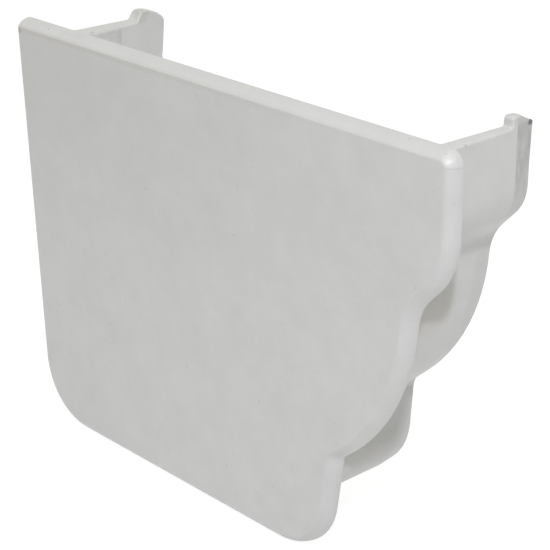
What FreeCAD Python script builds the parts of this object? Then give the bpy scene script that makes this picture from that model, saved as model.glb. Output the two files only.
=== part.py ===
import FreeCAD, Part
import math
import os

import Sketcher

# Gutter end cap for a K-style (ogee) gutter: one moulded piece.
# A closing plate carries a short skirt on its back that slides over the end of the gutter.
# X runs from the fascia side to the front, Y along the gutter, Z up. All sizes are in mm and degrees.
# The plate's inner face lies in Y = 0 and its top fascia corner is the origin.

SIZES = [
    ("plate_width", 127.0, "fascia edge to front edge, along the top"),
    ("plate_height", 90.0, "top edge to bottom edge"),
    ("plate_thickness", 3.2, "outer face to inner face"),
    ("plate_edge_radius", 2.0, "rounding of the outer face's rim"),
    ("plate_corner", 3.0, "rounding of the two top corners, seen face on"),
    ("plate_band", 15.8, "upright part of the front edge, down from the top"),
    ("plate_crown", 15.0, "outward curve under the band"),
    ("plate_slope", 2.7, "straight run between crown and neck"),
    ("plate_neck", 9.6, "inward curve under the slope"),
    ("plate_crook", 1.5, "inward corner between belly and foot"),
    ("plate_foot_height", 22.8, "bottom edge up to the foot's top"),
    ("plate_foot_lean", 8.7, "lean of the foot's front from upright"),
    ("plate_foot_radius", 15.0, "two bottom corners"),
    ("crown_turn", 45.0, "how far the crown turns"),
    ("neck_turn", 41.0, "how far the neck turns back"),
    ("belly_turn", 50.0, "how far the belly turns"),
    ("back_lean", 3.85, "lean of the fascia edge from upright"),
    ("skirt_back", 17.65, "fascia edge to the skirt's back wall, along the top"),
    ("skirt_front", 2.4, "skirt's front wall behind the plate's front edge"),
    ("skirt_lift", 9.6, "skirt's floor above the plate's bottom edge"),
    ("skirt_depth", 20.3, "plate's inner face to the skirt's rim"),
    ("skirt_band", 10.9, "upright part of the front wall, down from the top"),
    ("skirt_crown", 9.7, "outward curve under the band"),
    ("skirt_slope", 3.7, "straight run between crown and neck"),
    ("skirt_neck", 9.3, "inward curve under the slope"),
    ("skirt_crook", 3.0, "inward corner between belly and foot"),
    ("skirt_foot_height", 21.5, "skirt's floor up to the foot's top"),
    ("skirt_foot_lean", 4.4, "lean of the foot's front from upright"),
    ("skirt_foot_radius", 14.2, "two bottom corners"),
    ("skirt_draft", 0.44, "how far the outside draws in from plate to rim"),
    ("lead_run", 4.2, "length of the tapered lead-in at the rim"),
    ("lead_drop", 0.46, "how far the lead-in draws in below the drafted face"),
    ("wall_root", 3.15, "wall thickness at the plate"),
    ("wall_rim", 1.45, "wall thickness at the rim"),
    ("back_gain_root", 1.55, "how much thicker the back wall is at the plate"),
    ("back_gain_rim", 0.45, "how much thicker the back wall is at the rim"),
    ("lug_rise", 3.1, "snap lug above the wall's top, before its nose is rounded"),
    ("lug_length", 5.7, "snap lug along the wall, up to the rim"),
    ("lug_tip", 0.75, "height left at the lug's far end"),
    ("lug_base_radius", 0.5, "inward corner at the foot of the lug's step"),
    ("lug_nose_radius", 1.4, "outward corner at the head of the lug's step"),
    ("edge_radius", 0.5, "soft edges along the tops of the walls and lugs"),
    ("rib_root", 5.05, "back wall with its thick root, at the plate"),
    ("rib_end", 4.85, "back wall with its thick root, where the root stops"),
    ("rib_length", 8.9, "thick root along the wall"),
    ("rib_height", 62.0, "thick root down the wall"),
    ("rib_radius", 0.6, "rounding of the thick root's free edge"),
]


class Term:
    """A size or a sum of sizes: its number, and the sheet expression that gives it."""

    def __init__(self, number, text):
        self.number = number
        self.text = text

    def __add__(self, other):
        return Term(self.number + other.number, "(%s + %s)" % (self.text, other.text))

    def __sub__(self, other):
        return Term(self.number - other.number, "(%s - %s)" % (self.text, other.text))

    def __mul__(self, other):
        return Term(self.number * other.number, "(%s * %s)" % (self.text, other.text))

    def __truediv__(self, other):
        return Term(self.number / other.number, "(%s / %s)" % (self.text, other.text))


def plain(number):
    return Term(number, repr(number))


def sine(angle):
    return Term(math.sin(math.radians(angle.number)), "sin(%s * 1 deg)" % angle.text)


def tangent(angle):
    return Term(math.tan(math.radians(angle.number)), "tan(%s * 1 deg)" % angle.text)


def secant(angle):
    return Term(1 / math.cos(math.radians(angle.number)), "(1 / cos(%s * 1 deg))" % angle.text)


# The sheet of driving sizes
doc = FreeCAD.newDocument("gutter_end_cap")
sheet = doc.addObject("Spreadsheet::Sheet", "sizes")
size = {}
for row, (name, value, meaning) in enumerate(SIZES, start=1):
    sheet.set("A%d" % row, meaning)
    sheet.set("B%d" % row, str(value))
    sheet.setAlias("B%d" % row, name)
    size[name] = Term(value, "sizes.%s" % name)
doc.recompute()

body = doc.addObject("PartDesign::Body", "end_cap")
body.Label = "end_cap"


def origin_plane(role):
    return next(item for item in body.Origin.OriginFeatures if item.Role == role)


def new_sketch(name, role, back=None):
    """A sketch on one of the body's planes; back moves it along the gutter."""
    sketch = body.newObject("Sketcher::SketchObject", name)
    sketch.AttachmentSupport = [(origin_plane(role), "")]
    sketch.MapMode = "FlatFace"
    if back is not None:
        sketch.AttachmentOffset.Base.z = -back.number
        sketch.setExpression("AttachmentOffset.Base.z", "-%s" % back.text)
    return sketch


def bind(sketch, kind, where, term):
    """Adds one dimension to a sketch and ties it to the sheet."""
    if kind == "Angle":
        index = sketch.addConstraint(Sketcher.Constraint(kind, *where, math.radians(term.number)))
        sketch.setExpression("Constraints[%d]" % index, "%s * 1 deg" % term.text)
    else:
        index = sketch.addConstraint(Sketcher.Constraint(kind, *where, term.number))
        sketch.setExpression("Constraints[%d]" % index, term.text)


class Pen:
    """Draws an outline in a sketch as straights and bends, each one tangent to the last."""

    def __init__(self, sketch, x, y, heading):
        self.sketch = sketch
        self.x = x
        self.y = y
        self.heading = heading
        self.first = None
        self.last = None

    def join(self, start, end, smooth):
        if self.first is None:
            self.first = start
        else:
            kind = "Tangent" if smooth else "Coincident"
            self.sketch.addConstraint(Sketcher.Constraint(kind, *self.last, *start))
        self.last = end

    def straight(self, length, smooth=True):
        angle = math.radians(self.heading)
        start = FreeCAD.Vector(self.x, self.y, 0)
        self.x += length * math.cos(angle)
        self.y += length * math.sin(angle)
        line = Part.LineSegment(start, FreeCAD.Vector(self.x, self.y, 0))
        index = self.sketch.addGeometry(line)
        self.join((index, 1), (index, 2), smooth)
        return index

    def bend(self, radius, turn):
        """Turns to the right when turn is positive, to the left when it is negative."""
        side = math.copysign(90, turn)
        inward = math.radians(self.heading - side)
        centre = FreeCAD.Vector(self.x + radius * math.cos(inward), self.y + radius * math.sin(inward), 0)
        begin = inward + math.pi
        self.heading -= turn
        finish = math.radians(self.heading - side) + math.pi
        self.x = centre.x + radius * math.cos(finish)
        self.y = centre.y + radius * math.sin(finish)
        circle = Part.Circle(centre, FreeCAD.Vector(0, 0, 1), radius)
        if turn > 0:
            index = self.sketch.addGeometry(Part.ArcOfCircle(circle, finish, begin))
            self.join((index, 2), (index, 1), True)
        else:
            index = self.sketch.addGeometry(Part.ArcOfCircle(circle, begin, finish))
            self.join((index, 1), (index, 2), True)
        return index

    def close(self, smooth):
        kind = "Tangent" if smooth else "Coincident"
        self.sketch.addConstraint(Sketcher.Constraint(kind, *self.last, *self.first))


ROOT = (-1, 1)
RIGHT_ANGLE = plain(90.0)
heading_at_foot = size["crown_turn"] - size["neck_turn"] + size["belly_turn"]


def ogee_front(pen, name, inset, floor, foot_height):
    """The front edge from the foot of the band to the foot: crown, slope, neck, belly, crook and foot.

    An inset outline runs parallel inside: outward curves lose the inset and inward ones gain it.
    The belly takes up the height that the other parts leave.
    """
    sketch = pen.sketch
    crown = size[name + "_crown"] - inset
    slope = size[name + "_slope"]
    neck = size[name + "_neck"] + inset
    crook = size[name + "_crook"] + inset
    foot_lean = size[name + "_foot_lean"]
    foot_radius = size[name + "_foot_radius"] - inset
    crook_turn = heading_at_foot - foot_lean
    crown_bend = pen.bend(crown.number, size["crown_turn"].number)
    slope_line = pen.straight(slope.number)
    neck_bend = pen.bend(neck.number, -size["neck_turn"].number)
    above = math.radians(-90 - pen.heading)
    below = math.radians(heading_at_foot.number)
    lean = math.radians(foot_lean.number)
    crook_drop = crook.number * (math.sin(below) - math.sin(lean))
    belly_drop = pen.y - floor - foot_height.number - crook_drop
    belly = belly_drop / (math.sin(below) - math.sin(above))
    belly_bend = pen.bend(belly, size["belly_turn"].number)
    crook_bend = pen.bend(crook.number, -crook_turn.number)
    foot_drop = foot_height.number - foot_radius.number * (1 - math.sin(lean))
    foot_line = pen.straight(foot_drop / math.cos(lean))
    foot_bend = pen.bend(foot_radius.number, 90 - foot_lean.number)
    bind(sketch, "Radius", (crown_bend,), crown)
    bind(sketch, "Angle", (crown_bend,), size["crown_turn"])
    bind(sketch, "Distance", (slope_line,), slope)
    bind(sketch, "Radius", (neck_bend,), neck)
    bind(sketch, "Angle", (neck_bend,), size["neck_turn"])
    bind(sketch, "Angle", (belly_bend,), size["belly_turn"])
    bind(sketch, "Radius", (crook_bend,), crook)
    bind(sketch, "Angle", (crook_bend,), crook_turn)
    bind(sketch, "Radius", (foot_bend,), foot_radius)
    return foot_line


def floor_and_back(pen, foot_line, radius, depth, foot_height, back, top):
    """The floor, the bottom corner on the fascia side and the leaning back edge up to the top.

    The back is where the leaning edge would cross the level Z = 0.
    """
    sketch = pen.sketch
    lean = math.radians(size["back_lean"].number)
    reach = radius.number * math.tan(math.radians(45) - lean / 2)
    floor_end = back + depth.number * math.tan(lean) + reach
    floor_line = pen.straight(pen.x - floor_end)
    back_bend = pen.bend(radius.number, 90 - size["back_lean"].number)
    back_line = pen.straight((top - pen.y) / math.cos(lean))
    sketch.addConstraint(Sketcher.Constraint("Horizontal", floor_line))
    bind(sketch, "DistanceY", (floor_line, 1, *ROOT), depth)
    bind(sketch, "DistanceY", (floor_line, 1, foot_line, 1), foot_height)
    bind(sketch, "Radius", (back_bend,), radius)
    bind(sketch, "Angle", (back_bend,), RIGHT_ANGLE - size["back_lean"])
    return back_line


def skirt_outline(name, back, insets, top, back_gain=plain(0.0)):
    """One cross-section of the skirt: a ring for each inset inside the skirt's outline at the plate.

    Each ring after the first stops lower by its own distance inside the first, so that the rings nest.
    The back gain moves the back wall's edge further in.
    """
    sketch = new_sketch(name, "XZ_Plane", back)
    for inset in insets:
        skirt_ring(sketch, inset, top - inset + insets[0], back_gain)
    sketch.Visibility = False
    return sketch


def skirt_ring(sketch, inset, top, back_gain):
    """The skirt's closed outline, straight across the top, at one inset."""
    front = size["plate_width"] - size["skirt_front"] - inset
    depth = size["plate_height"] - size["skirt_lift"] - inset
    foot_height = size["skirt_foot_height"] - inset + inset * sine(size["skirt_foot_lean"])
    back_edge = size["skirt_back"] + (inset + back_gain) * secant(size["back_lean"])
    back_at_top = back_edge - top * tangent(size["back_lean"])
    radius = size["skirt_foot_radius"] - inset
    pen = Pen(sketch, back_at_top.number, top.number, 0)
    top_line = pen.straight(front.number - back_at_top.number)
    pen.heading = -90
    front_line = pen.straight(top.number + size["skirt_band"].number, smooth=False)
    foot_line = ogee_front(pen, "skirt", inset, -depth.number, foot_height)
    floor_and_back(pen, foot_line, radius, depth, foot_height, back_edge.number, top.number)
    pen.close(False)
    sketch.addConstraint(Sketcher.Constraint("Horizontal", top_line))
    sketch.addConstraint(Sketcher.Constraint("Vertical", front_line))
    bind(sketch, "DistanceX", (*ROOT, front_line, 1), front)
    bind(sketch, "DistanceY", (*ROOT, front_line, 1), top)
    bind(sketch, "DistanceY", (front_line, 2, *ROOT), size["skirt_band"])
    bind(sketch, "DistanceX", (*ROOT, top_line, 1), back_at_top)


# The skirt, drafted on the outside
skirt = body.newObject("PartDesign::AdditiveLoft", "skirt")
skirt.Profile = skirt_outline("skirt_root", plain(0.0), [plain(0.0)], size["lug_rise"])
skirt.Sections = [skirt_outline("skirt_rim", size["skirt_depth"], [size["skirt_draft"]], size["lug_rise"])]
skirt.Ruled = True
doc.recompute()

# The hollow inside the skirt, open at the top and at the rim
above_lugs = size["lug_rise"] + size["wall_root"]
hollow = body.newObject("PartDesign::SubtractiveLoft", "hollow")
rim_inset = size["skirt_draft"] + size["lead_drop"]
hollow.Profile = skirt_outline("hollow_root", plain(0.0), [size["wall_root"]], above_lugs,
                               size["back_gain_root"])
hollow.Sections = [
    skirt_outline("hollow_rim", size["skirt_depth"], [rim_inset + size["wall_rim"]], above_lugs,
                  size["back_gain_rim"]),
]
hollow.Ruled = True
doc.recompute()

# The tops of the walls, cut down to leave a barbed snap lug at the rim of each
lug_profile = new_sketch("lug_profile", "YZ_Plane")
depth = size["skirt_depth"].number
step = depth - size["lug_length"].number
rise = size["lug_rise"].number
base = size["lug_base_radius"].number
nose = size["lug_nose_radius"].number
pen = Pen(lug_profile, 0, 0, 0)
wall_top = pen.straight(step - base)
base_bend = pen.bend(base, -90)
ramp_fall = math.degrees(math.atan2(rise - size["lug_tip"].number, size["lug_length"].number))
nose_turn = 90 + ramp_fall
nose_reach = nose * math.tan(math.radians(nose_turn / 2))
step_line = pen.straight(rise - base - nose_reach)
nose_bend = pen.bend(nose, nose_turn)
ramp_end = (depth - pen.x) / math.cos(math.radians(ramp_fall))
ramp = pen.straight(ramp_end)
pen.heading = 90
end_line = pen.straight(rise + size["wall_root"].number - pen.y, smooth=False)
pen.heading = 180
cover_line = pen.straight(depth, smooth=False)
pen.heading = -90
plate_line = pen.straight(pen.y, smooth=False)
pen.close(False)
for line in (wall_top, cover_line):
    lug_profile.addConstraint(Sketcher.Constraint("Horizontal", line))
for line in (step_line, end_line, plate_line):
    lug_profile.addConstraint(Sketcher.Constraint("Vertical", line))
lug_profile.addConstraint(Sketcher.Constraint("Coincident", wall_top, 1, *ROOT))
bind(lug_profile, "DistanceX", (*ROOT, step_line, 1), size["skirt_depth"] - size["lug_length"])
bind(lug_profile, "Radius", (base_bend,), size["lug_base_radius"])
bind(lug_profile, "Radius", (nose_bend,), size["lug_nose_radius"])
bind(lug_profile, "DistanceX", (*ROOT, end_line, 1), size["skirt_depth"])
bind(lug_profile, "DistanceY", (*ROOT, end_line, 1), size["lug_tip"])
bind(lug_profile, "DistanceY", (*ROOT, end_line, 2), above_lugs)
lug_head = lug_profile.addGeometry(Part.Point(FreeCAD.Vector(step, rise, 0)), True)
lug_profile.addConstraint(Sketcher.Constraint("PointOnObject", lug_head, 1, step_line))
lug_profile.addConstraint(Sketcher.Constraint("PointOnObject", lug_head, 1, ramp))
bind(lug_profile, "DistanceY", (*ROOT, lug_head, 1), size["lug_rise"])

lugs = body.newObject("PartDesign::Pocket", "lugs")
lugs.Profile = lug_profile
lugs.Type = "ThroughAll"
lugs.Midplane = True
lug_profile.Visibility = False
doc.recompute()

# Soft edges along the tops of the walls, over the lugs
top_edges = []
for index, edge in enumerate(lugs.Shape.Edges, start=1):
    box = edge.BoundBox
    along = box.YLength > box.XLength or box.ZLength > box.XLength
    if along and box.ZMin > -0.001 and box.YMax > 0.001 and box.YMin < depth - 0.001:
        top_edges.append("Edge%d" % index)
soft_tops = body.newObject("PartDesign::Fillet", "soft_tops")
soft_tops.Base = (lugs, top_edges)
soft_tops.setExpression("Radius", "sizes.edge_radius")
doc.recompute()

# The tapered lead-in, cut round the outside of the rim
shoulder = size["skirt_depth"] - size["lead_run"]
shoulder_inset = size["skirt_draft"] * shoulder / size["skirt_depth"]
clear = plain(0.0) - size["lead_drop"]
above_all = above_lugs + size["wall_root"]
lead_in = body.newObject("PartDesign::SubtractiveLoft", "lead_in")
lead_in.Profile = skirt_outline("lead_shoulder", shoulder, [clear, shoulder_inset], above_all)
lead_in.Sections = [
    skirt_outline("lead_rim", size["skirt_depth"], [clear, rim_inset], above_all),
]
lead_in.Ruled = True
doc.recompute()

# The plate's outline, face on
plate_outline = new_sketch("plate_outline", "XZ_Plane")
corner = size["plate_corner"].number
corner_turn = 90 + size["back_lean"].number
corner_reach = corner * math.tan(math.radians(corner_turn / 2))
pen = Pen(plate_outline, corner_reach, 0, 0)
top_line = pen.straight(size["plate_width"].number - corner - corner_reach)
front_corner = pen.bend(corner, 90)
front_line = pen.straight(size["plate_band"].number - corner)
foot_line = ogee_front(pen, "plate", plain(0.0), -size["plate_height"].number, size["plate_foot_height"])
back_top = -corner_reach * math.cos(math.radians(size["back_lean"].number))
back_line = floor_and_back(pen, foot_line, size["plate_foot_radius"], size["plate_height"],
                           size["plate_foot_height"], 0, back_top)
back_corner = pen.bend(corner, corner_turn)
pen.close(True)
plate_outline.addConstraint(Sketcher.Constraint("Horizontal", top_line))
plate_outline.addConstraint(Sketcher.Constraint("Vertical", front_line))
plate_outline.addConstraint(Sketcher.Constraint("PointOnObject", top_line, 1, -1))
plate_outline.addConstraint(Sketcher.Constraint("PointOnObject", *ROOT, back_line))
bind(plate_outline, "DistanceX", (*ROOT, front_line, 1), size["plate_width"])
bind(plate_outline, "DistanceY", (front_line, 2, *ROOT), size["plate_band"])
bind(plate_outline, "Radius", (front_corner,), size["plate_corner"])
bind(plate_outline, "Radius", (back_corner,), size["plate_corner"])

plate = body.newObject("PartDesign::Pad", "plate")
plate.Profile = plate_outline
plate.setExpression("Length", "sizes.plate_thickness")
plate_outline.Visibility = False
doc.recompute()

# The thick root inside the back wall, next to the plate
rib_outline = new_sketch("rib_outline", "XY_Plane")
rib_back = size["skirt_back"] + size["skirt_draft"]
rib_at_plate = size["skirt_back"] + size["rib_root"]
rib_at_end = size["skirt_back"] + size["rib_end"]
rib_length = size["rib_length"].number
rib_radius = size["rib_radius"].number
narrowing = math.atan2(rib_at_plate.number - rib_at_end.number, rib_length)
rib_turn = 90 - math.degrees(narrowing)
rib_reach = rib_radius * math.tan(math.radians(rib_turn / 2))
pen = Pen(rib_outline, rib_back.number, 0, 0)
plate_line = pen.straight(rib_at_plate.number - rib_back.number)
pen.heading = 180 - rib_turn
side_line = pen.straight(rib_length / math.cos(narrowing) - rib_reach, smooth=False)
side_bend = pen.bend(rib_radius, -rib_turn)
end_line = pen.straight(pen.x - rib_back.number)
pen.heading = -90
wall_line = pen.straight(rib_length, smooth=False)
pen.close(False)
rib_outline.addConstraint(Sketcher.Constraint("Horizontal", plate_line))
rib_outline.addConstraint(Sketcher.Constraint("Horizontal", end_line))
rib_outline.addConstraint(Sketcher.Constraint("Vertical", wall_line))
rib_outline.addConstraint(Sketcher.Constraint("PointOnObject", plate_line, 1, -1))
bind(rib_outline, "DistanceX", (*ROOT, plate_line, 1), rib_back)
bind(rib_outline, "DistanceX", (*ROOT, side_line, 1), rib_at_plate)
bind(rib_outline, "DistanceY", (*ROOT, end_line, 1), size["rib_length"])
bind(rib_outline, "Radius", (side_bend,), size["rib_radius"])
rib_corner = rib_outline.addGeometry(Part.Point(FreeCAD.Vector(rib_at_end.number, rib_length, 0)), True)
rib_outline.addConstraint(Sketcher.Constraint("PointOnObject", rib_corner, 1, side_line))
rib_outline.addConstraint(Sketcher.Constraint("PointOnObject", rib_corner, 1, end_line))
bind(rib_outline, "DistanceX", (*ROOT, rib_corner, 1), rib_at_end)

rib = body.newObject("PartDesign::Pad", "rib")
rib.Profile = rib_outline
rib.UseCustomVector = True
rib.AlongSketchNormal = False
rib.setExpression("Direction.x", "sin(sizes.back_lean * 1 deg)")
rib.setExpression("Direction.y", "0")
rib.setExpression("Direction.z", "-cos(sizes.back_lean * 1 deg)")
rib.setExpression("Length", "sizes.rib_height")
rib_outline.Visibility = False
doc.recompute()

# The rounded rim of the plate's outer face
outer_edges = []
for index, edge in enumerate(rib.Shape.Edges, start=1):
    box = edge.BoundBox
    if box.YMax < -size["plate_thickness"].number + 0.001:
        outer_edges.append("Edge%d" % index)
rounding = body.newObject("PartDesign::Fillet", "rounding")
rounding.Base = (rib, outer_edges)
rounding.setExpression("Radius", "sizes.plate_edge_radius")
doc.recompute()

# Every step must have worked before the part is written
for item in doc.Objects:
    if "Invalid" in item.State or "Error" in item.State:
        raise RuntimeError("%s did not build: %s" % (item.Name, item.State))
    if item.TypeId == "Sketcher::SketchObject" and item.solve() != 0:
        raise RuntimeError("%s does not solve" % item.Name)
if body.Shape.isNull() or not body.Shape.isValid():
    raise RuntimeError("the end cap is not a valid solid")
if len(body.Shape.Solids) != 1:
    raise RuntimeError("the end cap is not one solid")

os.makedirs("parts", exist_ok=True)
body.Shape.exportStep(os.path.join("parts", "end_cap.step"))
print("end_cap volume %.0f mm3" % body.Shape.Volume)
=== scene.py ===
# %% [markdown]
# # A gutter end cap in white uPVC
# The end cap closes the end of a house gutter with an ogee front. It is moulded in one shot: a flat plate
# with the gutter's outline, and behind it a thin skirt that slides into the gutter and clips under its lips
# with two snap lugs. In this lesson the part is drawn from its sizes, given a plastic finish, lit and seen
# from the side that shows both the plate and the skirt.

# %% Load the fixed frame
import math

import bmesh
import bpy
import numpy as np
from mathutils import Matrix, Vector


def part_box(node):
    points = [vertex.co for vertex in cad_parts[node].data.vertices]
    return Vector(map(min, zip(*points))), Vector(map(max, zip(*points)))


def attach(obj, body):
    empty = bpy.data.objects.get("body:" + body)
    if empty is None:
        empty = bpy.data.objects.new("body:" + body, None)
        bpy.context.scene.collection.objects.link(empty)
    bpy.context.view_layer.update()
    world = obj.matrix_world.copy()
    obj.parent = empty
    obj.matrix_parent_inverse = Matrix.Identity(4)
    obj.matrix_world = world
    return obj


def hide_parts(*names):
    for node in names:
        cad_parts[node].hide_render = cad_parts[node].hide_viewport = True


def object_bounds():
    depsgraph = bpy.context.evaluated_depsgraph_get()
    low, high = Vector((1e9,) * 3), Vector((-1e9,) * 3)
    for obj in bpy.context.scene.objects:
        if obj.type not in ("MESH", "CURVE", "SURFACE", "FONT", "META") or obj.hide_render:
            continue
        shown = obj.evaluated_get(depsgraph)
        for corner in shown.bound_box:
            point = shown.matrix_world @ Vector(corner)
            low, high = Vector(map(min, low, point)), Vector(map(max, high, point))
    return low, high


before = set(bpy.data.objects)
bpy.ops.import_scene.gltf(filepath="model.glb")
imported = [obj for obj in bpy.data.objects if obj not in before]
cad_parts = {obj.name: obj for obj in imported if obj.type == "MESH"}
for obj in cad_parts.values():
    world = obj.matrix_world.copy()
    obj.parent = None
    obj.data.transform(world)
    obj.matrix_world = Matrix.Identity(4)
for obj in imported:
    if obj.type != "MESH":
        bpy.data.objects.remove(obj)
cad_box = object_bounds()

# %% [markdown]
# ## The driving sizes
# The outer sizes of the part are read from the frame, so the surfaces below land on the CAD solid. The rest
# are the moulding's own sizes in millimetres: bend radii, wall thicknesses and the shape of the lugs. The
# drawing is done in millimetres and only the finished points are turned into metres.
# X runs from the fascia to the front, Y along the gutter and Z up. The plate's inner face lies in Y = 0.

# %% Sizes in millimetres and degrees
MM = 0.001
low_corner, high_corner = (np.array(corner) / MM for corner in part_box("end_cap"))
plate_width = high_corner[0]
plate_height = -low_corner[2]
plate_thickness = -low_corner[1]
skirt_depth = high_corner[1]

RIM_FACE_RADIUS = 0.8
RIM_SIDE_RADIUS = 3.8
RIM_TURN = 50.0
PLATE_BACK_RADIUS = 0.1
PLATE_FRONT_CORNER = 3.0
PLATE_BACK_CORNER = 2.0
PLATE_BAND = 15.8
PLATE_OGEE = {"crown": 15.0, "slope": 2.7, "neck": 9.6, "belly_turn": 50.0, "crook": 1.5, "foot_height": 22.8,
              "foot_lean": 8.7, "foot_radius": 14.0, "heel_radius": 15.0}
SKIRT_BACK = 17.65
SKIRT_FRONT = 2.4
SKIRT_LIFT = 9.6
SKIRT_BAND = 10.9
SKIRT_OGEE = {"crown": 9.7, "slope": 3.7, "neck": 9.3, "belly_turn": 49.4, "crook": 3.0, "foot_height": 21.5,
              "foot_lean": 4.4, "foot_radius": 14.2, "heel_radius": 14.2}
CROWN_TURN = 45.0
NECK_TURN = 41.0
BACK_LEAN = 3.85

print("plate %.1f x %.1f x %.1f mm, skirt %.1f mm deep"
      % (plate_width, plate_height, plate_thickness, skirt_depth))

# %% [markdown]
# ## An outline of straights and bends
# A moulded profile is drawn as a draughtsman draws it: straight runs joined by round bends that start in the
# direction in which the last run ended. A Bezier curve could follow it, but its handles only come close to a
# round bend. Here each step keeps its start, its heading and its curvature, and any point of the line is
# worked out from the distance run along it, for a whole array of points at once.

# %% The outline helper
class Outline:
    """A line of straights and bends in one plane, measured by the distance run along it.

    A step of length l and curvature k turns to the right by k times l. Its far point lies one chord away.
    The chord is l times sin(kl/2) / (kl/2) long and points half-way between the first and last headings.
    """

    def __init__(self, across, up, heading):
        self.here = (across, up, math.radians(heading))
        self.run = 0.0
        self.steps = []

    def straight(self, length, curvature=0.0):
        self.steps.append((self.run, *self.here, curvature))
        self.run += length
        self.here = tuple(float(value) for value in self.at(np.array(self.run)))

    def bend(self, radius, turn):
        self.straight(radius * math.radians(abs(turn)), math.copysign(1 / radius, turn))

    def at(self, run):
        """Place across, place up and heading at each run. Before and after the line it goes on as it was."""
        steps = np.array(self.steps)
        which = np.clip(np.searchsorted(steps[:, 0], run, side="right") - 1, 0, None)
        begin, across, up, heading, curvature = np.moveaxis(steps[which], -1, 0)
        length = run - begin
        turned = curvature * length
        chord = length * np.sinc(turned / (2 * np.pi))
        middle = heading - turned / 2
        return across + chord * np.cos(middle), up + chord * np.sin(middle), heading - turned

    def marks(self, gap, swing):
        """Runs to sample at: each step is cut evenly, at most a gap apart and a swing in degrees on bends."""
        begins = [step[0] for step in self.steps]
        cuts = []
        for begin, end, step in zip(begins, begins[1:] + [self.run], self.steps):
            turned = math.degrees(abs(step[-1]) * (end - begin))
            count = max(1, math.ceil((end - begin) / gap), math.ceil(turned / swing))
            cuts.append(np.linspace(begin, end, count, endpoint=False))
        return np.concatenate(cuts)


# %% [markdown]
# ## The ogee
# Plate and skirt share one kind of front profile, the S-shaped ogee of the gutter: an outward crown, a short
# slope, an inward neck, a round belly, a tight crook and the upright foot. The belly's radius isn't chosen:
# it takes up the height that the other parts leave, as in the CAD source, so both outlines close at any size.

# %% The ogee front, the floor and the leaning back
def ogee_front(line, parts, floor):
    """Crown, slope, neck, belly, crook, foot and bottom corner, down to the level of the floor.

    The belly's radius is the height that is left, divided by the difference of the sines of its two headings.
    """
    line.bend(parts["crown"], CROWN_TURN)
    line.straight(parts["slope"])
    line.bend(parts["neck"], -NECK_TURN)
    above = math.radians(CROWN_TURN - NECK_TURN)
    below = math.radians(CROWN_TURN - NECK_TURN + parts["belly_turn"])
    lean = math.radians(parts["foot_lean"])
    crook_drop = parts["crook"] * (math.sin(below) - math.sin(lean))
    belly_drop = line.here[1] - floor - parts["foot_height"] - crook_drop
    line.bend(belly_drop / (math.sin(below) - math.sin(above)), parts["belly_turn"])
    line.bend(parts["crook"], parts["foot_lean"] - math.degrees(below))
    foot_drop = parts["foot_height"] - parts["foot_radius"] * (1 - math.sin(lean))
    line.straight(foot_drop / math.cos(lean))
    line.bend(parts["foot_radius"], 90 - parts["foot_lean"])


def floor_and_back(line, radius, back, depth, top):
    """Floor, bottom corner on the fascia side and the leaning back edge, which would cross Z = 0 at back."""
    lean = math.radians(BACK_LEAN)
    floor_end = back + depth * math.tan(lean) + radius * math.tan(math.radians(45) - lean / 2)
    line.straight(line.here[0] - floor_end)
    line.bend(radius, 90 - BACK_LEAN)
    line.straight((top - line.here[1]) / math.cos(lean))


corner_reach = PLATE_BACK_CORNER * math.tan(math.radians((90 + BACK_LEAN) / 2))
plate_line = Outline(corner_reach, 0.0, 0.0)
plate_line.straight(plate_width - PLATE_FRONT_CORNER - corner_reach)
plate_line.bend(PLATE_FRONT_CORNER, 90)
plate_line.straight(PLATE_BAND - PLATE_FRONT_CORNER)
ogee_front(plate_line, PLATE_OGEE, -plate_height)
floor_and_back(plate_line, PLATE_OGEE["heel_radius"], 0.0, plate_height,
               -corner_reach * math.cos(math.radians(BACK_LEAN)))
plate_line.bend(PLATE_BACK_CORNER, 90 + BACK_LEAN)

skirt_line = Outline(plate_width - SKIRT_FRONT, 0.0, -90.0)
skirt_line.straight(SKIRT_BAND)
ogee_front(skirt_line, SKIRT_OGEE, SKIRT_LIFT - plate_height)
floor_and_back(skirt_line, SKIRT_OGEE["heel_radius"], SKIRT_BACK, plate_height - SKIRT_LIFT, 0.0)
print("outlines: plate %.1f mm round, skirt %.1f mm from top to top" % (plate_line.run, skirt_line.run))

# %% [markdown]
# ## The plate
# The plate is a flat moulding with a full rim: a tight round beside the outer face runs over into a wide one
# that dies out at the back, where the edge is barely broken. An extruded curve with a bevel would come close,
# but its bevel has one radius and leaves no say over the rows of points. So one closed section, from the
# middle of the outer face over the rim to the middle of the inner face, is carried round the outline: each
# section point says how far in from the outline it lies, at what depth, and how far it has shrunk towards the
# plate's middle. The two middles are single points that close the shell.

# %% Mesh helpers
MERGE_GAP = 0.0005
CM3 = 1e-6


def grid_faces(index):
    """Four-cornered faces between neighbouring rows and columns of a grid of point numbers."""
    corners = [index[:-1, :-1], index[1:, :-1], index[1:, 1:], index[:-1, 1:]]
    return np.stack(corners, axis=-1).reshape(-1, 4).tolist()


def describe(name, work):
    """Prints the faces, the open edges and the volume of a mesh at work."""
    open_edges = sum(not edge.is_manifold for edge in work.edges)
    volume = work.calc_volume() / CM3
    print("%s: %d faces, %d open edges, %.1f cm3" % (name, len(work.faces), open_edges, volume))


def new_piece(name, points, faces):
    """A mesh object at the origin from points in mm. Doubles are merged and faces turned outwards."""
    mesh = bpy.data.meshes.new(name)
    mesh.from_pydata((np.asarray(points) * MM).tolist(), [], faces)
    work = bmesh.new()
    work.from_mesh(mesh)
    bmesh.ops.remove_doubles(work, verts=work.verts, dist=MERGE_GAP * MM)
    bmesh.ops.recalc_face_normals(work, faces=work.faces)
    describe(name, work)
    work.to_mesh(mesh)
    work.free()
    piece = bpy.data.objects.new(name, mesh)
    bpy.context.scene.collection.objects.link(piece)
    return piece


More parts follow.
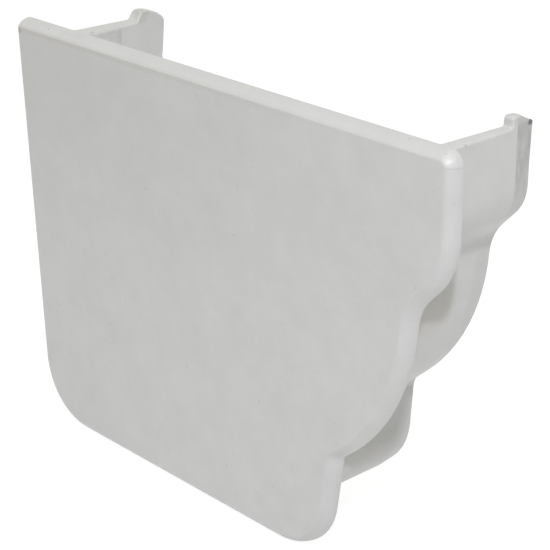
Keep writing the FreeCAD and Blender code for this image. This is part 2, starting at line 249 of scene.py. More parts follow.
# %% The plate's section and shell
FACE_RINGS = np.array([0.3, 0.6, 0.85, 0.97])
plate_middle = np.array([0.4 * plate_width, -0.55 * plate_height])


def plate_section():
    """Inset from the outline, depth and shrink of each point of the plate's section, outer middle to inner.

    Where the surface has turned by an angle a from the side towards the face, a round of radius R that starts
    at the angle b has gone in by R (cos b - cos a) and forward by R (sin a - sin b).
    """
    turn = math.radians(RIM_TURN)
    tight = np.linspace(math.pi / 2, turn, 7)
    wide = np.linspace(turn, 0, 8)[1:]
    wide_inset = RIM_SIDE_RADIUS * (1 - math.cos(turn))
    face_inset = wide_inset + RIM_FACE_RADIUS * math.cos(turn)
    tight_depth = RIM_FACE_RADIUS * (1 - np.sin(tight)) - plate_thickness
    wide_depth = tight_depth[-1] + RIM_SIDE_RADIUS * (math.sin(turn) - np.sin(wide))
    flat = np.ones(len(FACE_RINGS))
    back = PLATE_BACK_RADIUS
    broken = np.linspace(0, math.pi / 2, 4)
    inset = [face_inset * flat, wide_inset + RIM_FACE_RADIUS * (math.cos(turn) - np.cos(tight)),
             RIM_SIDE_RADIUS * (1 - np.cos(wide)), back * (1 - np.cos(broken)), back * flat]
    depth = [-plate_thickness * flat, tight_depth, wide_depth, back * (np.sin(broken) - 1), 0 * flat]
    shrink = [FACE_RINGS, np.ones(len(tight) + len(wide) + len(broken)), FACE_RINGS[::-1]]
    return np.concatenate(inset), np.concatenate(depth), np.concatenate(shrink)


def plate_shell():
    """The section carried round the outline: middle + shrink * (outline + inset * inward normal - middle)."""
    inset, depth, shrink = plate_section()
    across, up, heading = (value[:, None] for value in plate_line.at(plate_line.marks(5.0, 4.0)))
    x = plate_middle[0] + shrink * (across + inset * np.sin(heading) - plate_middle[0])
    z = plate_middle[1] + shrink * (up - inset * np.cos(heading) - plate_middle[1])
    points = np.stack([x, np.broadcast_to(depth, x.shape), z], axis=-1)
    index = np.arange(x.size).reshape(x.shape)
    index = np.concatenate([index, index[:1]])
    outer, inner = x.size, x.size + 1
    faces = grid_faces(index)
    faces += [[outer, here, after] for here, after in zip(index[:-1, 0].tolist(), index[1:, 0].tolist())]
    faces += [[inner, after, here] for here, after in zip(index[:-1, -1].tolist(), index[1:, -1].tolist())]
    poles = [[plate_middle[0], level, plate_middle[1]] for level in (-plate_thickness, 0.0)]
    return np.concatenate([points.reshape(-1, 3), poles]), faces


end_cap = new_piece("end_cap_moulding", *plate_shell())

# %% [markdown]
# ## The skirt's wall
# The skirt is a thin wall that follows the outline from the front top down round the floor and up to the back
# top. Its wall thins from plate to rim on both sides, because the steel of the mould must draw out of it, and
# the last few millimetres outside taper more, to lead the cap into the gutter. The back wall is thicker, with
# a thick root next to the plate. It helps to think of the wall as a flat sheet with two coordinates, the run
# along the outline and the depth from the plate, and to say for each point of the sheet how far inside the
# outline its outer and inner faces lie.

# %% How far in the wall's two faces lie
SKIRT_DRAFT = 0.44
LEAD_RUN = 4.2
LEAD_DROP = 0.46
WALL_ROOT = 3.15
WALL_RIM = 1.45
BACK_GAIN_ROOT = 1.55
BACK_GAIN_RIM = 0.45
RIB_ROOT = 5.05
RIB_END = 4.85
RIB_LENGTH = 8.9
RIB_HEIGHT = 62.0
RIB_SOFT = 1.4
RIB_FOOT_SOFT = 0.6
ROOT_FILLET = 0.4
shoulder = skirt_depth - LEAD_RUN
back_straight = skirt_line.steps[-1][0]
back_corner = skirt_line.steps[-2][0]


def smooth_step(value, start, end):
    """Rises from 0 at start to 1 at end as 3t^2 - 2t^3."""
    share = np.clip((value - start) / (end - start), 0, 1)
    return share * share * (3 - 2 * share)


def root_flare(depth):
    """A round fillet at the plate: R - sqrt(R^2 - (R - depth)^2), the full R at the plate and behind it."""
    short = ROOT_FILLET - np.clip(depth, 0, ROOT_FILLET)
    return ROOT_FILLET - np.sqrt(ROOT_FILLET ** 2 - short ** 2)


def outer_inset(run, depth):
    """Draft in proportion to the depth, plus the lead-in past the shoulder, less the flare at the root."""
    drawn = SKIRT_DRAFT * np.clip(depth, 0, None) / skirt_depth
    lead = LEAD_DROP * np.clip(depth - shoulder, 0, None) / LEAD_RUN
    return drawn + lead - root_flare(depth)


def inner_inset(run, depth):
    """Wall thickness from root to rim in a straight line, the back wall's gain, its thick root and the flare.

    The thick root ends in a quarter ellipse: its height falls as the square root of 1 - t^2.
    """
    share = np.clip(depth, 0, None) / skirt_depth
    wall = WALL_ROOT + (SKIRT_DRAFT + LEAD_DROP + WALL_RIM - WALL_ROOT) * share
    gain = BACK_GAIN_ROOT + (BACK_GAIN_RIM - BACK_GAIN_ROOT) * share
    gain = gain * smooth_step(run, back_corner, back_straight)
    rib_face = RIB_ROOT + (RIB_END - RIB_ROOT) * np.clip(depth, 0, None) / RIB_LENGTH
    rib_foot = skirt_line.run - RIB_HEIGHT
    past = np.clip((depth - RIB_LENGTH + RIB_SOFT) / RIB_SOFT, 0, 1)
    rib_here = np.sqrt(1 - past ** 2) * smooth_step(run, rib_foot, rib_foot + RIB_FOOT_SOFT)
    rib = np.clip(rib_face - wall - gain, 0, None) * rib_here
    return wall + gain + rib + root_flare(depth)


def wall_point(run, depth, inset):
    """A point of the sheet in space: outline at run, moved in by inset, on the back wall in a level line."""
    across, up, heading = skirt_line.at(run)
    slide = inset * math.tan(math.radians(BACK_LEAN)) * smooth_step(run, back_straight, skirt_line.run)
    x = across + inset * np.sin(heading) - slide * np.cos(heading)
    z = up - inset * np.cos(heading) - slide * np.sin(heading)
    return np.stack([x, depth, z], axis=-1)


for name, place in (("front", 0.0), ("back", skirt_line.run)):
    depths = np.array([1.0, skirt_depth])
    thickness = inner_inset(place, depths) - outer_inset(place, depths)
    print("%s wall %.2f mm thick at the plate, %.2f mm at the rim" % (name, *thickness))

# %% [markdown]
# ## The snap lugs
# Each wall's top edge carries a lug near the rim: a step up, a rounded nose and a ramp that falls to the rim,
# so that the gutter's lip slides over it and snaps behind the step. The front lug steps up steeply to a level
# crest and a straight ramp, while the back one has a sloping step, one long round for its ramp and leans a
# little past the rim. Their side views are outlines too, in depth and height. Every edge of the moulding is a
# small round, softer on one side of the wall than on the other, so each face of the sheet stops one radius
# short of the true edge, and a rounded band closes the wall over it.

# %% Side views of the two lugs
ROOT_SUNK = 0.3
BLOCK_HEIGHT = 8.0
FRONT_LUG = {"top": 0.27, "foot": 14.8, "base": 0.4, "lean": 6.0, "rise": 2.28, "nose": 0.8, "crest": 3.7,
             "crest_run": 1.2, "knee": 1.5, "fall": 25.0, "end": 0.3, "reach": 0.4,
             "outer_edge": 0.5, "inner_edge": 0.15}
BACK_LUG = {"top": 0.12, "foot": 13.6, "base": 0.5, "lean": 38.0, "rise": 2.07, "nose": 1.5, "crest": 0.0,
            "crest_run": 0.0, "knee": 7.8, "fall": 38.0, "end": 1.7, "reach": 1.1,
            "outer_edge": 0.15, "inner_edge": 0.5}
RIM_EDGE = 0.2
EDGE_FADE = 6.0


def lug_line(lug):
    """Wall top, base bend, step, nose bend, crest, knee bend, ramp, end bend and end face, from the side.

    The wall's top starts level with the plate and rises to the lug's foot. The ramp's length is the depth
    that the other parts leave, divided by the cosine of its fall.
    """
    end = skirt_depth + lug["reach"]
    slope = math.atan2(lug["top"], lug["foot"])
    step_turn = 90 - lug["lean"]
    climb = 1 - math.cos(math.radians(step_turn))
    fall = math.radians(lug["fall"])
    undercut = math.degrees(math.atan2(lug["reach"], BLOCK_HEIGHT))
    line = Outline(-ROOT_SUNK, -ROOT_SUNK * math.tan(slope), math.degrees(slope))
    line.straight(lug["foot"] + ROOT_SUNK - lug["base"] * math.tan(math.radians(step_turn / 2)))
    step = lug["rise"] - line.here[1] - (lug["base"] + lug["nose"]) * climb
    line.bend(lug["base"], math.degrees(slope) - step_turn)
    line.straight(step / math.cos(math.radians(lug["lean"])))
    line.bend(lug["nose"], step_turn + lug["crest"])
    line.straight(lug["crest_run"])
    line.bend(lug["knee"], lug["fall"] - lug["crest"])
    ramp_depth = end - lug["end"] * (1 - math.sin(fall)) - line.here[0]
    line.straight(ramp_depth / math.cos(fall))
    line.bend(lug["end"], 90 - lug["fall"] + undercut)
    line.straight((BLOCK_HEIGHT + line.here[1]) / math.cos(math.radians(undercut)))
    return line


for name, lug in (("front", FRONT_LUG), ("back", BACK_LUG)):
    print("%s lug ends at depth %.2f, height %.2f mm" % (name, *lug_line(lug).here[:2]))

# %% [markdown]
# ## The sheet near a lug
# Far from the lugs the sheet is a plain grid of rows and columns. Near a top edge the rows must rise into the
# lug. A Coons patch does that: it is given the four borders of a block, the lug's edge above, a straight row
# below, the root on one side and the rim on the other, and fills the inside by blending them. The wall is
# flat here, so the way its points shift inside the block can't be seen.

# %% A block of the sheet under one lug
quarter = np.radians(np.arange(0, 91, 15))
ROOT_COLUMNS = np.concatenate([[-ROOT_SUNK, -0.05], ROOT_FILLET * (1 - np.cos(quarter))])
RIB_COLUMNS = RIB_LENGTH - RIB_SOFT * (1 - np.sin(quarter))
WALL_COLUMNS = np.concatenate([ROOT_COLUMNS, [2.0, 5.0], RIB_COLUMNS, [RIB_LENGTH + 0.02, 11.0]])
RAMP_COLUMNS = shoulder + np.array([-0.12, 0.0, 0.12, 0.9, 1.2, 1.5, 2.4, 3.2])
BEND_POINTS = 6
STEP_POINTS = 4
NOSE_POINTS = 9


def edge_radius(depth, soft):
    """The radius of a wall's edge: soft along its top and lug, fading to the crisper rim."""
    return soft + (RIM_EDGE - soft) * smooth_step(depth, skirt_depth - EDGE_FADE, skirt_depth)


def edge_of(line, run, soft):
    """The sheet's edge, one edge radius inside the true outline, and the way out: direction times radius."""
    depth, height, heading = line.at(run)
    outward = edge_radius(depth, soft)[:, None] * np.stack([-np.sin(heading), np.cos(heading)], axis=-1)
    return np.stack([depth, height], axis=-1) - outward, outward


def lug_block(lug, soft):
    """Points of the block as depth and height, with the ways out of its upper and rim borders.

    Coons patch: blend of upper and lower border, plus blend of root and rim, less blend of the corners.
    """
    line = lug_line(lug)
    base, riser, nose, crest = (step[0] for step in line.steps[1:5])
    end, face = (step[0] for step in line.steps[-2:])
    along_ramp = np.linspace(crest, end, 100)
    ramp_runs = np.interp(RAMP_COLUMNS, edge_of(line, along_ramp, soft)[0][:, 0], along_ramp)
    middle = (end + face) / 2
    upper_runs = [WALL_COLUMNS + ROOT_SUNK, np.linspace(base, riser, BEND_POINTS)[:-1],
                  np.linspace(riser, nose, STEP_POINTS)[:-1], np.linspace(nose, crest, NOSE_POINTS)[:-1],
                  ramp_runs, np.linspace(end, middle, BEND_POINTS)]
    rim_runs = [np.linspace(middle, face, BEND_POINTS), np.linspace(face, line.run, BEND_POINTS)[1:]]
    upper, upper_out = edge_of(line, np.concatenate(upper_runs), soft)
    rim, rim_out = edge_of(line, np.concatenate(rim_runs), soft)
    first_bend = len(WALL_COLUMNS)
    first_ramp = len(upper) - BEND_POINTS - len(RAMP_COLUMNS)
    plain = np.r_[0:first_bend + 1, first_ramp:first_ramp + len(RAMP_COLUMNS), len(upper) - 1]
    columns = upper[plain, 0]
    columns[-1] = skirt_depth - RIM_EDGE
    columns = np.interp(np.arange(len(upper)), plain, columns)
    lower = np.stack([columns, np.full(len(columns), -BLOCK_HEIGHT)], axis=-1)
    rim[-1] = lower[-1]
    rim_out[-1] = (RIM_EDGE, 0.0)
    down = ((rim[0, 1] - rim[:, 1]) / (rim[0, 1] - rim[-1, 1]))[:, None, None]
    out = ((columns - columns[0]) / (columns[-1] - columns[0]))[None, :, None]
    root = (1 - down) * upper[0] + down * lower[0]
    rows = (1 - down) * upper + down * lower
    sides = (1 - out) * root + out * rim[:, None]
    top_corners = (1 - out) * upper[0] + out * upper[-1]
    low_corners = (1 - out) * lower[0] + out * lower[-1]
    corners = (1 - down) * top_corners + down * low_corners
    return rows + sides - corners, upper_out, rim_out, columns


print("a lug block has %d rows and %d columns" % lug_block(FRONT_LUG, RIM_EDGE)[0].shape[:2])

# %% [markdown]
# ## The skirt as one shell
# The front block, the plain rows and the back block are stacked into one sheet of runs and depths, once for
# the outer and once for the inner face, because their edges differ, and carried into space. Along the free
# edge, from the plate over the front lug, round the whole rim and over the back lug to the plate again, a
# band of two quarter rounds joins the faces. The root is closed a little inside the plate.

# %% Stack the sheet
back_slant = math.cos(math.radians(BACK_LEAN))
first_run = BLOCK_HEIGHT
last_run = skirt_line.run - BLOCK_HEIGHT / back_slant
rib_foot_rows = skirt_line.run - RIB_HEIGHT + RIB_FOOT_SOFT * np.linspace(-0.25, 1.25, 6)
plain_runs = np.unique(np.concatenate([skirt_line.marks(4.0, 4.0), rib_foot_rows]))
plain_runs = plain_runs[(plain_runs > first_run + 1.0) & (plain_runs < last_run - 1.0)]
plain_share = ((plain_runs - first_run) / (last_run - first_run))[:, None]
print("%d plain rows between the two lug blocks" % len(plain_runs))


def wall_sheet(edge):
    """Runs and depths of the sheet for one face, and the ways out along its free edge in run and depth.

    The free edge goes along the first row outwards, down the last column and along the last row inwards.
    """
    front, front_upper, front_rim, front_columns = lug_block(FRONT_LUG, FRONT_LUG[edge])
    back, back_upper, back_rim, back_columns = lug_block(BACK_LUG, BACK_LUG[edge])
    plain_depth = front_columns + (back_columns - front_columns) * plain_share
    plain_run = np.broadcast_to(plain_runs[:, None], plain_depth.shape)
    run = np.concatenate([-front[..., 1], plain_run, skirt_line.run + back[::-1, :, 1] / back_slant])
    depth = np.concatenate([front[..., 0], plain_depth, back[::-1, :, 0]])
    plain_out = np.broadcast_to([RIM_EDGE, 0.0], (len(plain_runs), 2))
    front_out = np.concatenate([front_upper, front_rim[1:]]) * [1, -1]
    back_out = np.concatenate([back_rim[:0:-1], back_upper[::-1]])
    return run, depth, np.concatenate([front_out, plain_out, back_out])


# %% Close the free edge and the root
def free_edge(grid):
    """Values of a sheet array along its free edge."""
    return np.concatenate([grid[0], grid[1:-1, -1], grid[-1, ::-1]])


def wall_face(edge, inset_of, side):
    """One face of the wall in space, and its half of the band over the free edge.

    At an angle a round the edge the band lies R sin a outside the sheet's edge, R (1 - cos a) off its face.
    """
    run, depth, out = wall_sheet(edge)
    angle = np.linspace(0, math.pi / 2, 6)
    band_run = free_edge(run)[:, None] + out[:, 1:] * np.sin(angle)
    band_depth = free_edge(depth)[:, None] + out[:, :1] * np.sin(angle)
    sunk = np.linalg.norm(out, axis=1)[:, None] * (1 - np.cos(angle))
    band = wall_point(band_run, band_depth, inset_of(band_run, band_depth) + side * sunk)
    return wall_point(run, depth, inset_of(run, depth)), band


def skirt_shell():
    """Outer face, inner face and edge band of the wall, with the faces that join them."""
    outer, outer_band = wall_face("outer_edge", outer_inset, 1)
    inner, inner_band = wall_face("inner_edge", inner_inset, -1)
    band = np.concatenate([outer_band, inner_band[:, ::-1]], axis=1)
    count = outer[..., 0].size
    outer_index = np.arange(count).reshape(outer.shape[:2])
    inner_index = outer_index + count
    band_index = 2 * count + np.arange(band[..., 0].size).reshape(band.shape[:2])
    root_index = np.stack([inner_index[:, 0], outer_index[:, 0]], axis=-1)
    faces = grid_faces(outer_index) + grid_faces(inner_index[:, ::-1])
    faces += grid_faces(band_index) + grid_faces(root_index)
    faces += [band_index[0].tolist(), band_index[-1, ::-1].tolist()]
    return np.concatenate([block.reshape(-1, 3) for block in (outer, inner, band)]), faces


skirt = new_piece("skirt_shell", *skirt_shell())

# %% [markdown]
# ## One moulding
# The real cap leaves the mould as one piece, so plate and skirt are joined into one closed mesh. A Boolean
# union with the exact solver cuts away what lies inside. The long flat faces should shade flat right up to
# the small rounds beside them, so a Weighted Normal modifier lets the larger face decide at each point.

# %% Join plate and skirt
SHARP_ANGLE = 40.0


def fuse(piece, other):
    """Unites two closed shells into the first one's mesh and removes the second."""
    union = piece.modifiers.new("union", "BOOLEAN")
    union.operation = "UNION"
    union.solver = "EXACT"
    union.object = other
    joined = bpy.data.meshes.new_from_object(piece.evaluated_get(bpy.context.evaluated_depsgraph_get()))
    piece.modifiers.clear()
    piece.data = joined
    bpy.data.objects.remove(other)


fuse(end_cap, skirt)
end_cap.data.shade_smooth()
end_cap.data.set_sharp_from_angle(angle=math.radians(SHARP_ANGLE))
flat_first = end_cap.modifiers.new("flat_first", "WEIGHTED_NORMAL")
flat_first.keep_sharp = True
check = bmesh.new()
check.from_mesh(end_cap.data)
describe("moulding", check)
check.free()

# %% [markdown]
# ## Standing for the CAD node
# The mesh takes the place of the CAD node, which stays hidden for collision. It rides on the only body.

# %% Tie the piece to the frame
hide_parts("end_cap")
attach(end_cap, "root")
print("%s stands for the node end_cap" % end_cap.name)

# %% [markdown]
# ## White uPVC
# The cap is injection moulded in rigid PVC, coloured white right through with titanium dioxide. Such a
# surface is a soft satin: the polished steel of the mould leaves it almost smooth, with a fine grain, faint
# mottled patches and tiny grey specks. This cap has also been handled. The lead-in is scuffed, the lugs are
# dull, a brownish line runs below the top rim, and there are a few marks that make it one cap among many.
# Some light and shade is painted into the colour as well: painted shade on the back wall's thick root and
# on the upper left of the face, painted warm shade behind the neck and the belly, painted shade for a chip
# in the front lug and a painted glint on the rim's corner. All of it is drawn in the shader from the part's
# own coordinates, because it is far finer than the mesh.

# %% Colour and node helpers
def linear(code):
    """An sRGB hex colour as linear red, green, blue and alpha."""
    parts = [int(code[place:place + 2], 16) / 255 for place in (1, 3, 5)]
    return [part / 12.92 if part <= 0.04045 else ((part + 0.055) / 1.055) ** 2.4 for part in parts] + [1.0]


def add_node(tree, kind, sockets=(), **settings):
    """Adds a node: settings are its own choices, sockets pairs an input with a value or a node's output."""
    made = tree.nodes.new(kind)
    for name, value in settings.items():
        setattr(made, name, value)
    for name, value in dict(sockets).items():
        if isinstance(value, bpy.types.NodeSocket):
            tree.links.new(value, made.inputs[name])
        else:
            made.inputs[name].default_value = value
    return made


# %% Stains
def fade(value, start, end, low=0.0, high=1.0):
    """A smooth step along one axis, between two places in millimetres, from a low share to a high one."""
    return [(value, start * MM, end * MM, low, high)]


def band(value, low, high, soft):
    """Two steps that hold between two places in millimetres and fade over the soft width on both sides."""
    return fade(value, low - soft, low) + fade(value, high + soft, high)


# This lays the real stains, and also the painted shade and the painted glint.
def stain(tree, under, code, strength, steps):
    """A colour laid over another one. Its share is the strength times all the smooth steps.

    A step gives a value, where it starts and ends, and its share there. In between it runs as 3t^2 - 2t^3.
    """
    share = strength
    for value, start, end, low, high in steps:
        limits = {"Value": value, "From Min": start, "From Max": end, "To Min": low, "To Max": high}
        step = add_node(tree, "ShaderNodeMapRange", limits, interpolation_type="SMOOTHSTEP")
        pair = {0: share, 1: step.outputs["Result"]}
        share = add_node(tree, "ShaderNodeMath", pair, operation="MULTIPLY").outputs["Value"]
    layers = {"Factor": share, "A": under, "B": linear(code)}
    return add_node(tree, "ShaderNodeMix", layers, data_type="RGBA").outputs["Result"]


# %% The plain plastic
LIGHT_UPVC, DARK_UPVC, SPECK, FLECK = "#CECECE", "#C6C6C6", "#94938C", "#A5A49E"
MOTTLE_SIZE, SPECK_GAP, FLECK_SIZE = 9.0, 5.0, 3.0
print("mottled patches of %.0f mm, a speck every %.0f mm" % (MOTTLE_SIZE, SPECK_GAP))


def mottled_white(tree, place):
    """White with mottled patches, a small speck in each Voronoi cell, and rare flecks."""
    patches = add_node(tree, "ShaderNodeTexNoise", {"Vector": place, "Scale": 1 / (MOTTLE_SIZE * MM),
                                                    "Detail": 6.0, "Roughness": 0.75}).outputs["Fac"]
    white = add_node(tree, "ShaderNodeValToRGB", {"Fac": patches})
    white.color_ramp.elements[0].position = 0.3
    white.color_ramp.elements[0].color = linear(DARK_UPVC)
    white.color_ramp.elements[1].position = 0.7
    white.color_ramp.elements[1].color = linear(LIGHT_UPVC)
    cells = add_node(tree, "ShaderNodeTexVoronoi", {"Vector": place, "Scale": 1 / (SPECK_GAP * MM)})
    crumbs = add_node(tree, "ShaderNodeTexNoise", {"Vector": place, "Scale": 1 / (FLECK_SIZE * MM),
                                                   "Detail": 6.0, "Roughness": 0.75})
    in_cells = [(cells.outputs["Distance"], 0.06, 0.03, 0.0, 1.0)]
    in_crumbs = [(crumbs.outputs["Fac"], 0.63, 0.72, 0.0, 1.0)]
    specked = stain(tree, white.outputs["Color"], SPECK, 0.4, in_cells)
    return stain(tree, specked, FLECK, 0.35, in_crumbs), patches


# %% Wear on the skirt
# A grey for the wear on the lead-in and the lugs. It also gives the painted shade on the thick root and the
# crease.
GRIME_AND_SHADE = "#85847D"
STREAK_SIZE, STREAK_STRETCH = 0.7, (2, 1, 4)
BLOTCH_SIZE = 1.5
LEAD_SOFT = 0.2
FRONT_WALL = (105.0, 122.0)
STREAKS_BELOW = (-18.0, -6.0)
STREAKS_ABOVE = (1.5, 0.3)
LUG_TOPS = (0.6, 1.6)
print("streaks on the lead-in, from depth %.1f to %.1f mm" % (shoulder, skirt_depth))


def blotches(tree, place):
    """A step in a soft noise, which leaves blotches between a quarter and one."""
    cloud = add_node(tree, "ShaderNodeTexNoise", {"Vector": place, "Scale": 1 / (BLOTCH_SIZE * MM),
                                                  "Detail": 4.0, "Roughness": 0.7})
    return [(cloud.outputs["Fac"], 0.35, 0.6, 0.25, 1.0)]


def worn(tree, place, colour):
    """Grey streaks on the front wall's lead-in, fading downwards and on the lug's top, and dull lugs."""
    axes = add_node(tree, "ShaderNodeSeparateXYZ", {"Vector": place}).outputs
    across, depth, height = axes["X"], axes["Y"], axes["Z"]
    squeeze = [1 / stretch for stretch in STREAK_STRETCH]
    drawn = add_node(tree, "ShaderNodeMapping", {"Vector": place, "Scale": squeeze})
    rubs = add_node(tree, "ShaderNodeTexNoise", {"Vector": drawn.outputs["Vector"], "Roughness": 0.75,
                                                 "Scale": 1 / (STREAK_SIZE * MM), "Detail": 5.0})
    streaks = [(rubs.outputs["Fac"], 0.35, 0.65, 0.2, 0.55)]
    lead = fade(depth, shoulder - LEAD_SOFT, shoulder + LEAD_SOFT)
    ends = fade(height, *STREAKS_BELOW, 0.2, 1.0) + fade(height, *STREAKS_ABOVE, 0.4, 1.0)
    colour = stain(tree, colour, GRIME_AND_SHADE, 1.0, lead + fade(across, *FRONT_WALL) + streaks + ends)
    return stain(tree, colour, GRIME_AND_SHADE, 0.12, fade(height, *LUG_TOPS) + blotches(tree, place))


# %% Painted shade on the root and the face, a crease on the rim and a line below it
# The first grey is painted shade, darker towards the upper left of the face. The second is a brownish line
# below the top rim.
FACE_SHADE, RIM_LINE = "#9A9993", "#9A9081"
# Limits of the painted shade on the thick root: its inner face and its free end are painted darker, as if in
# shade.
ROOT_SHADE_WIDTH = (22.4, 28.0)
ROOT_SHADE_HEIGHT = (-20.0, -12.0)
ROOT_END_SHADE_RUN = 1.2
CREASE_HEIGHT = (-2.78, -2.68)
CREASE_START = (124.9, 125.3)
CREASE_DEPTH = (-0.3, -0.8)
# Limits of the painted shade on the face, which grows darker towards the upper left.
FACE_SHADE_HEIGHT = (-60.0, -5.0)
FACE_SHADE_WIDTH = (125.0, 15.0)
FACE_SHADE_DEPTH = (-2.6, -3.1)
RIM_LINE_HEIGHT = (-2.4, -1.7)
RIM_LINE_WIDTH = (120.0, 10.0)
RIM_LINE_DEPTH = (-2.5, -2.9)
print("painted shade on the thick root from X = %.1f to %.1f mm" % ROOT_SHADE_WIDTH)


def soiled_and_shaded(tree, place, colour):
    """Painted shade on the thick root and on the upper left of the face, a crease below the rim's corner and
    a brownish line below the top rim.
    """
    axes = add_node(tree, "ShaderNodeSeparateXYZ", {"Vector": place}).outputs
    across, depth, height = axes["X"], axes["Y"], axes["Z"]
    # Painted shade on the thick root's inner face and on its free end.
    root = band(across, *ROOT_SHADE_WIDTH, 0.6) + fade(height, *ROOT_SHADE_HEIGHT)
    root_side_shade = root + band(depth, 0.6, RIB_LENGTH, 0.4) + blotches(tree, place)
    root_end_shade = root + band(depth, RIB_LENGTH - ROOT_END_SHADE_RUN, RIB_LENGTH, 0.5)
    crease = band(height, *CREASE_HEIGHT, 0.06) + fade(across, *CREASE_START) + fade(depth, *CREASE_DEPTH)
    # Painted shade, darker towards the upper left of the face.
    face_shade = fade(height, *FACE_SHADE_HEIGHT) + fade(depth, *FACE_SHADE_DEPTH) + fade(across, *FACE_SHADE_WIDTH, 0.35, 1.0)
    # A brownish darker line just below the top rim, fading to the right.
    under_rim = band(height, *RIM_LINE_HEIGHT, 0.4) + fade(depth, *RIM_LINE_DEPTH)
    under_rim += fade(across, *RIM_LINE_WIDTH, 0.03, 0.14)
    # Laid in order: painted shade on the root's side, painted shade on its end, the crease, painted shade on
    # the face and the line below the rim.
    colour = stain(tree, colour, GRIME_AND_SHADE, 0.2, root_side_shade)
    colour = stain(tree, colour, GRIME_AND_SHADE, 0.1, root_end_shade)
    colour = stain(tree, colour, GRIME_AND_SHADE, 0.2, crease)
    colour = stain(tree, colour, FACE_SHADE, 0.2, face_shade)
    return stain(tree, colour, RIM_LINE, 1.0, under_rim)


# %% Single marks
BREAK_SIZE = 0.5
MARKS = {
    # Painted shade: a near-black spot stands for the shade inside a chip that the mesh doesn't have.
    "painted shade of a chip in the front lug": ((123.8, 19.9, 0.45), 0.85, "#1C1B19", 1.0),
    "crumb behind the plate": ((21.7, 1.5, 0.0), 0.5, "#4A4943", 0.8),
    "crumb on the front wall": ((124.4, 2.9, -0.2), 0.4, "#77756E", 0.5),
    "dirty corner of the face": ((2.4, -3.2, -2.3), 0.9, "#857A6B", 0.5),
    "smudge near the foot": ((78.7, -3.2, -82.7), 2.0, "#968B7C", 0.08),
    "smudge at the foot": ((87.2, -3.2, -83.7), 1.7, "#968B7C", 0.06),
    "stain on the back lug": ((20.6, 15.0, 1.4), 2.6, "#8B8A76", 0.25),
    # Painted warm shade: the next two marks tint the shade behind the plate's neck and belly warmer.
    "painted warm shade behind the neck": ((115.0, 6.0, -34.0), 8.0, "#B8AA86", 0.2),
    "painted warm shade behind the belly": ((97.0, 8.5, -70.5), 9.0, "#B0A68C", 0.1),
    # Painted highlight: a lighter, broken patch adds a glint on the rubbed corner of the rim.
    "painted glint on the rubbed rim corner": ((125.6, -2.3, -1.3), 1.6, "#F4F4F2", 0.15),
}
print("marks:", ", ".join(MARKS))


def marked(tree, place, colour):
    """Balls of colour for stains, painted shade and a painted glint, each full up to half its radius and gone
    at its radius, that a fine noise breaks up.
    """
    fine = add_node(tree, "ShaderNodeTexNoise", {"Vector": place, "Scale": 1 / (BREAK_SIZE * MM),
                                                 "Detail": 3.0})
    broken = [(fine.outputs["Fac"], 0.4, 0.6, 0.4, 1.0)]
    for centre, radius, code, strength in MARKS.values():
        ends = {0: place, 1: [value * MM for value in centre]}
        gap = add_node(tree, "ShaderNodeVectorMath", ends, operation="DISTANCE").outputs["Value"]
        colour = stain(tree, colour, code, strength, fade(gap, radius, radius / 2) + broken)
    return colour


# %% The plastic
GRAIN_SIZE, GRAIN_HEIGHT = 0.45, 0.1


def white_upvc():
    """Rigid white PVC as moulded and handled: satin, mottled, scuffed, with a fine grain, and with painted
    shade and a painted glint.
    """
    material = bpy.data.materials.new("white_upvc")
    material.use_nodes = True
    tree = material.node_tree
    tree.nodes.clear()
    place = add_node(tree, "ShaderNodeTexCoord").outputs["Object"]
    white, patches = mottled_white(tree, place)
    colour = marked(tree, place, soiled_and_shaded(tree, place, worn(tree, place, white)))
    grain = add_node(tree, "ShaderNodeTexNoise", {"Vector": place, "Scale": 1 / (GRAIN_SIZE * MM),
                                                  "Detail": 2.0})
    bump = add_node(tree, "ShaderNodeBump", {"Height": grain.outputs["Fac"], "Strength": 0.06,
                                             "Distance": GRAIN_HEIGHT * MM})
    satin = add_node(tree, "ShaderNodeMapRange", {"Value": patches, "From Min": 0.2, "From Max": 0.8,
                                                  "To Min": 0.36, "To Max": 0.48},
                     interpolation_type="SMOOTHSTEP")
    shader = add_node(tree, "ShaderNodeBsdfPrincipled",
                      {"Base Color": colour, "Roughness": satin.outputs["Result"], "IOR": 1.53,
                       "Normal": bump.outputs["Normal"]})
    add_node(tree, "ShaderNodeOutputMaterial", {"Surface": shader.outputs["BSDF"]})
    print("%s: %d nodes" % (material.name, len(tree.nodes)))
    return material


end_cap.data.materials.clear()
end_cap.data.materials.append(white_upvc())

# %% [markdown]
# ## Floor and light
# The cap stands on a white sweep. The camera sees the floor as plain white, lit a little by the lamps so that
# the shadow under the cap stays. A small key lamp high on the right gives the plate's rim its shadow on the
# skirt. Large, slightly warm lamps above, on the left and behind fill in the rest. The white room is only
# seen, directly and in the satin of the plastic: it casts no light of its own.

# %% The white floor
FLOOR_SIZE = 6.0
FLOOR_GAP = 0.2 * MM
GLOW = 1.15
GLOW_SHARE = 0.8
floor_mesh = bpy.data.meshes.new("floor")
corners = FLOOR_SIZE / 2 * np.array([[-1, -1, 0], [1, -1, 0], [1, 1, 0], [-1, 1, 0]])
floor_mesh.from_pydata((corners + [0, 0, low_corner[2] * MM - FLOOR_GAP]).tolist(), [], [(0, 1, 2, 3)])
floor = bpy.data.objects.new("floor", floor_mesh)
bpy.context.scene.collection.objects.link(floor)


def seen_rays(tree):
    """One for rays from the camera, from mirrors and through glass, nought for the rays that carry light."""
    rays = add_node(tree, "ShaderNodeLightPath").outputs
    seen = rays["Is Camera Ray"]
    for other in (rays["Is Glossy Ray"], rays["Is Transmission Ray"]):
        seen = add_node(tree, "ShaderNodeMath", {0: seen, 1: other}, operation="MAXIMUM").outputs["Value"]
    return seen


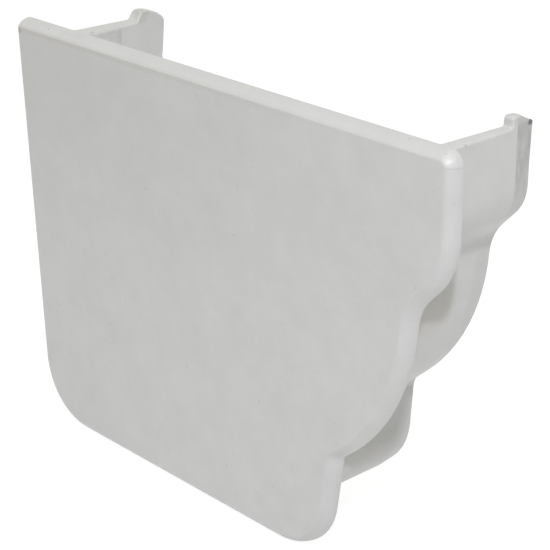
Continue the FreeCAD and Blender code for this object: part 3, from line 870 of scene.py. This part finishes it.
def floor_material():
    """White paper for the lamps, with a glow of its own for the eye, so only shadow darkens it."""
    material = bpy.data.materials.new("white_sweep")
    material.use_nodes = True
    tree = material.node_tree
    tree.nodes.clear()
    paper = add_node(tree, "ShaderNodeBsdfDiffuse", {"Color": linear("#F2F2F2")})
    glow = add_node(tree, "ShaderNodeEmission", {"Color": linear("#FFFFFF"), "Strength": GLOW})
    share = add_node(tree, "ShaderNodeMath", {0: seen_rays(tree), 1: GLOW_SHARE}, operation="MULTIPLY")
    both = add_node(tree, "ShaderNodeMixShader", {0: share.outputs["Value"], 1: paper.outputs["BSDF"],
                                                  2: glow.outputs["Emission"]})
    add_node(tree, "ShaderNodeOutputMaterial", {"Surface": both.outputs["Shader"]})
    return material


floor_mesh.materials.append(floor_material())
print("floor %.1f m wide, %.1f mm below the cap" % (FLOOR_SIZE, FLOOR_GAP / MM))

# %% The white room and the lamps
COOL_WHITE, WARM_WHITE = "#FBFCFF", "#FFFDF2"
LAMPS = {
    "key": ((0.576, -0.445, 0.541), 0.05, 5.7, COOL_WHITE),
    "top": ((0.06, 0.0, 0.7), 0.8, 2.3, WARM_WHITE),
    "left_front": ((-0.6, -0.6, 0.4), 0.5, 1.8, WARM_WHITE),
    "back": ((0.1, 0.8, 0.4), 0.6, 1.3, WARM_WHITE),
    "rear": ((-0.15, 0.9, 0.0), 0.15, 3.0, WARM_WHITE),
    "right_back": ((0.6, 0.35, 0.1), 0.3, 0.3, WARM_WHITE),
}
world = bpy.data.worlds.new("white_room")
bpy.context.scene.world = world
world.use_nodes = True
room = world.node_tree
room.nodes.clear()
sky = add_node(room, "ShaderNodeBackground", {"Color": linear("#FFFFFF"), "Strength": seen_rays(room)})
add_node(room, "ShaderNodeOutputWorld", {"Surface": sky.outputs["Background"]})


def soft_lamp(name, place, aim, size, power, colour):
    """A square area lamp at a place, facing the aim."""
    lamp = bpy.data.lights.new(name, "AREA")
    lamp.size = size
    lamp.energy = power
    lamp.color = linear(colour)[:3]
    holder = bpy.data.objects.new(name, lamp)
    holder.location = place
    holder.rotation_euler = (Vector(aim) - Vector(place)).to_track_quat("-Z", "Y").to_euler()
    bpy.context.scene.collection.objects.link(holder)
    print("lamp %s: %.2f m wide, %.1f W" % (name, size, power))


middle = (Vector(cad_box[0]) + Vector(cad_box[1])) / 2
for name, (place, size, power, colour) in LAMPS.items():
    soft_lamp(name, place, middle, size, power, colour)

# %% [markdown]
# ## The camera
# The photograph was taken from in front of the plate, to the right and a little above, with a long lens. The
# lens, the place and the two angles were worked out from the plate's edges.

# %% Camera
LENS = 120.1
CAMERA_PLACE = (0.3216, -0.2146, 0.0922)
YAW, PITCH = math.radians(48.4), math.radians(21.6)
camera_data = bpy.data.cameras.new("camera")
camera_data.lens = LENS
camera_data.sensor_width = 36.0
camera_data.clip_start, camera_data.clip_end = 0.01, 20.0
camera = bpy.data.objects.new("camera", camera_data)
camera.location = CAMERA_PLACE
looking = Vector((-math.sin(YAW) * math.cos(PITCH), math.cos(YAW) * math.cos(PITCH), -math.sin(PITCH)))
camera.rotation_euler = looking.to_track_quat("-Z", "Y").to_euler()
bpy.context.scene.collection.objects.link(camera)
bpy.context.scene.camera = camera
bpy.context.scene.view_settings.view_transform = "Standard"
print("camera with a %.0f mm lens, %.2f m from the cap" % (LENS, (camera.location - middle).length))
